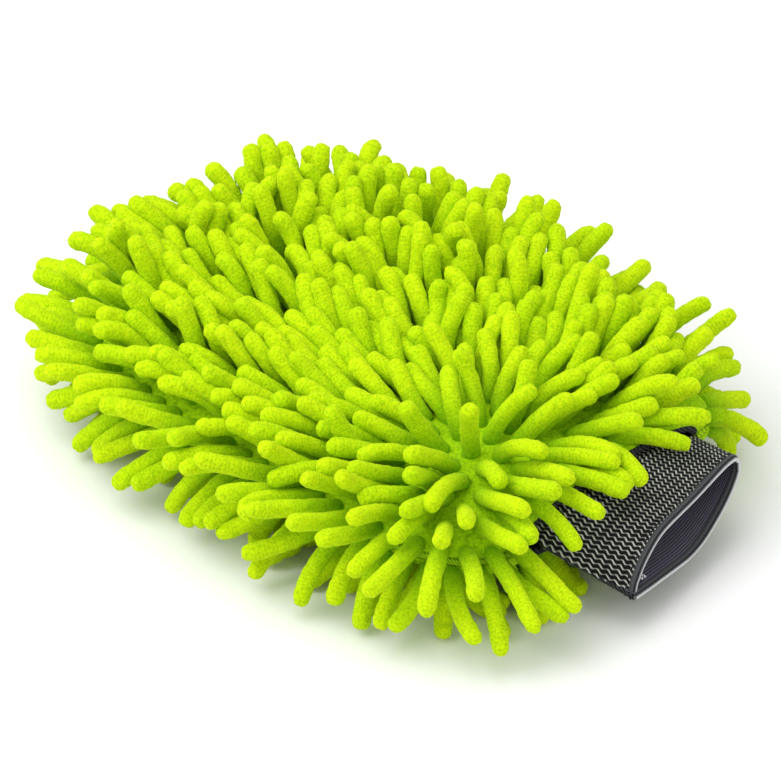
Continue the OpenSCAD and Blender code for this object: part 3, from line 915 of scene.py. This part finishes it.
def rolled(name, columns, rows, start, end, depth, material):
    """A tube of cloth between two stations, with a UV map in metres named cloth."""
    turns, outline = even_turns(columns)
    work = bmesh.new()
    bmesh.ops.create_grid(work, x_segments=columns, y_segments=rows, size=0.5)
    flat = np.array([v.co for v in work.verts])
    column = np.rint((flat[:, 0] + 0.5) * columns).astype(int)
    k = start + (end - start) * (flat[:, 1] + 0.5)
    across = (flat[:, 0] + 0.5) * outline
    down = (flat[:, 1] + 0.5) * (end - start) * 29 * MM
    uv = work.loops.layers.uv.new("cloth")
    for face in work.faces:
        for loop in face.loops:
            loop[uv].uv = (across[loop.vert.index], down[loop.vert.index])
    deep = depth(across, down) if callable(depth) else np.full(len(flat), depth)
    points = cuff_inside(k, turns[column], deep)
    for vert, point in zip(work.verts, points):
        vert.co = point
    bmesh.ops.remove_doubles(work, verts=work.verts[:], dist=0.02 * MM)
    bmesh.ops.recalc_face_normals(work, faces=work.faces[:])
    mesh = bpy.data.meshes.new(name)
    work.to_mesh(mesh)
    work.free()
    return show(name, mesh, material)


def braid(across, down):
    """How deep the braid lies below the cuff's outside."""
    sway = RIB_SWAY * np.sin(2 * math.pi * down / RIB_STEP)
    rib = np.sin(2 * math.pi * (across + sway) / RIB_PITCH)
    bead = -BEAD_SHARE * np.cos(2 * math.pi * down / RIB_STEP)
    return BRAID_DEPTH * (0.5 - BRAID_SWING * (rib + bead))


def thicken(piece):
    """Gives the cuff's cloth its wall, inwards from its outside."""
    wall = piece.modifiers.new("wall", "SOLIDIFY")
    wall.thickness = WALL
    wall.offset = -1


def stretch_with(piece):
    """Bakes the placement of a piece of cuff cloth into its mesh."""
    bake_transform(piece)


# %% Knit, facing and the sleeve at the wrist
turns, outline = even_turns(12)
RIB_COLUMNS = 6
RIBS = int(round(outline / RIB_PITCH))
COLUMNS = RIBS * RIB_COLUMNS
print("cuff outline in mm", round(outline / MM, 1), "ribs", RIBS)
knit = rolled("cuff_elastic", COLUMNS, 78, 0.0, 0.95, braid, elastic)
facing = rolled("cuff_facing", 160, 26, 0.0, 0.95, FACING_DEPTH, facing_knit)
for piece, replaced, slot_name in [
        (knit, ["cuff_knit_upper", "cuff_knit_lower"], "elastic_knit"),
        (facing, ["cuff_facing_upper", "cuff_facing_lower"], "facing_knit")]:
    thicken(piece)
    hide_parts(*replaced)
    stretch_with(piece)
sleeve = rolled("cuff_elastic_hem", 120, 10, -0.28, 0.2, HEM_DEPTH, elastic)
thicken(sleeve)
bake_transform(sleeve)


# %% [markdown]
# ## Binding and stitches
# The edge of the mouth is closed by a satin tape rolled over the fold: dark on its outside,
# with a pale painted highlight along its crest. It is a small oval carried round the mouth.
# The stitches are a running thread just behind it, and a white bartack locks the near corner.

# %% Carry a round section along a line
def tube(name, line, side, ahead, radius, sides, closed, material):
    """A round bead along a line of points. side and ahead span its cross-section."""
    work = bmesh.new()
    bmesh.ops.create_grid(work, x_segments=len(line) - (0 if closed else 1),
                          y_segments=sides, size=0.5)
    flat = np.array([v.co for v in work.verts])
    many = len(line) if closed else len(line) - 1
    along = np.rint((flat[:, 0] + 0.5) * many).astype(int) % len(line)
    angle = (flat[:, 1] + 0.5) * 2 * math.pi
    wide = np.broadcast_to(radius, len(line))[along][:, None]
    points = line[along] + wide * (np.cos(angle)[:, None] * side[along]
                                   + np.sin(angle)[:, None] * ahead[along])
    # crest is 1 on the side of the section that faces out of the mouth; the binding's material paints
    # its highlight there.
    crest = 0.5 + 0.5 * np.sin(angle)
    mark = work.verts.layers.float.new("crest")
    for vert, point, value in zip(work.verts, points, crest):
        vert.co = point
        vert[mark] = value
    bmesh.ops.remove_doubles(work, verts=work.verts[:], dist=0.005 * MM)
    bmesh.ops.holes_fill(work, edges=work.edges[:])
    bmesh.ops.recalc_face_normals(work, faces=work.faces[:])
    mesh = bpy.data.meshes.new(name)
    work.to_mesh(mesh)
    work.free()
    return show(name, mesh, material)


def cuff_frame(k, turn, depth):
    """A line on the cuff, with its directions inwards and out of the mouth."""
    k = np.full(len(turn), k)
    line = cuff_inside(k, turn, np.full(len(turn), depth))
    side = cuff_inside(k, turn, np.full(len(turn), depth + 1 * MM)) - line
    side /= np.linalg.norm(side, axis=1)[:, None]
    ahead = cuff_at(k + 0.02, turn) - cuff_at(k - 0.02, turn)
    ahead -= (ahead * side).sum(1)[:, None] * side
    ahead /= np.linalg.norm(ahead, axis=1)[:, None]
    return line, side, ahead


# %% Binding
TAPE_THICK = 1.25 * MM
TAPE_REACH = 1.9 * MM
turns, _ = even_turns(220)
line, side, ahead = cuff_frame(0.945, turns[:-1], 1.1 * MM)
binding = tube("mouth_binding", line, side, ahead * TAPE_REACH / TAPE_THICK, TAPE_THICK, 20,
               True, binding_tape)
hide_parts("mouth_binding_upper", "mouth_binding_lower")
stretch_with(binding)

# %% Stitches, side seams and bartack
def thread_piece(name, runs, radius, material, replaced):
    """Several short lengths of thread as one piece."""
    parts = []
    for number, (k, turn, depth) in enumerate(runs):
        line, side, ahead = cuff_frame(k, turn, depth) if np.isscalar(k) else along_cuff(k, turn, depth)
        parts.append(tube(f"{name}_{number}", line, side, ahead, radius, 8, False, material))
    work = bmesh.new()
    for part in parts:
        work.from_mesh(part.data)
    mesh = bpy.data.meshes.new(name)
    work.to_mesh(mesh)
    work.free()
    for part in parts:
        bpy.data.objects.remove(part)
    piece = show(name, mesh, material)
    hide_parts(*replaced)
    stretch_with(piece)
    return piece


def along_cuff(k, turn, depth):
    """A line that runs from the wrist towards the mouth."""
    turn = np.full(len(k), turn)
    line = cuff_inside(k, turn, np.full(len(k), depth))
    side = cuff_inside(k, turn, np.full(len(k), depth + 1 * MM)) - line
    side /= np.linalg.norm(side, axis=1)[:, None]
    ahead = np.gradient(line, axis=0)
    ahead = np.cross(ahead, side)
    ahead /= np.linalg.norm(ahead, axis=1)[:, None]
    return line, side, ahead


turns, _ = even_turns(44)
thread_piece("hem_stitches", [(0.885, np.linspace(a, a + 0.62 * (b - a), 5), 0.0)
                              for a, b in zip(turns, turns[1:])],
             0.28 * MM, grey_thread, ["hem_stitches_upper", "hem_stitches_lower"])
thread_piece("cuff_side_seams",
             [(np.linspace(0.03, 0.95, 24), math.radians(t), 0.9 * MM) for t in (-2, 182)],
             0.9 * MM, grey_thread, ["cuff_side_seam_near", "cuff_side_seam_far"])
thread_piece("corner_bartack_thread",
             [(np.linspace(0.81, 0.88, 6), math.radians(t), 2.9 * MM) for t in (226, 230)],
             0.45 * MM, white_thread, ["corner_bartack"])

# %% [markdown]
# ## The floor
# A pale floor far larger than the view, just under the noodles.

# %% Floor
FLOOR_HEIGHT = -0.7 * MM
floor_work = bmesh.new()
bmesh.ops.create_grid(floor_work, x_segments=1, y_segments=1, size=4)
floor_mesh = bpy.data.meshes.new("floor")
floor_work.to_mesh(floor_mesh)
floor_work.free()
floor_paint, tree, shader = cloth_material("matt_white_floor", 0.9)
shader.inputs["Base Color"].default_value = (0.93, 0.93, 0.93, 1)
floor = show("floor", floor_mesh, floor_paint)
floor.location.z = FLOOR_HEIGHT
